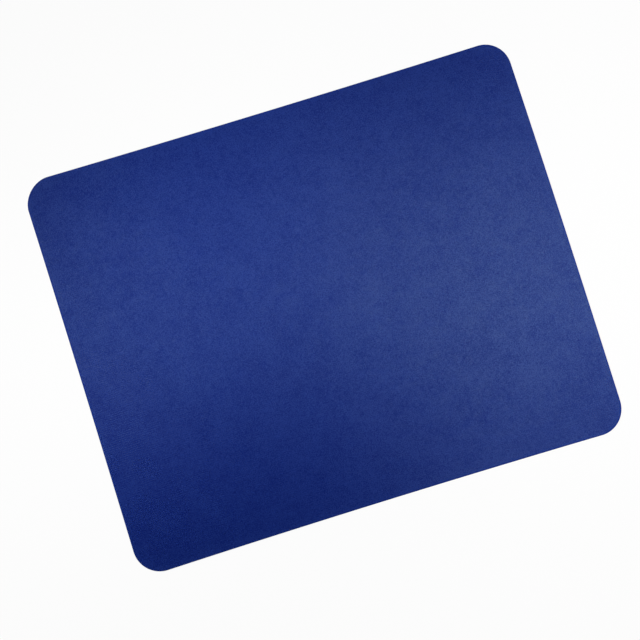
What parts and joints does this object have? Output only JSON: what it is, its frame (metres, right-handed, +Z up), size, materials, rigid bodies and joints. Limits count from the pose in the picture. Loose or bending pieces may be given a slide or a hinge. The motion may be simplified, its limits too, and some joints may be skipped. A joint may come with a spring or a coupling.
{
  "type": "mouse pad",
  "caption": "Flat cloth-topped mouse pad with rounded corners: a knitted face bonded to a sponge-rubber base with an embossed non-slip underside and a plain cut rim.",
  "frame": {"origin": "middle of the underside, where the pad rests on the desk", "axes": "+X along the long side to the user's right, +Y across the pad away from the user, +Z up out of the cloth face"},
  "size_m": [0.25, 0.201, 0.003],
  "materials": {
    "polyester_jersey": "dyed fine knitted polyester jersey, matt with a faint sheen",
    "hot_melt_film": "translucent milky hot-melt adhesive film",
    "sponge_rubber": "black open-cut sponge rubber with a matt embossed skin underneath"
  },
  "bodies": {
    "root": {"jersey_face": "polyester_jersey", "bond_film": "hot_melt_film", "foam_base": "sponge_rubber"}
  },
  "joints": []
}
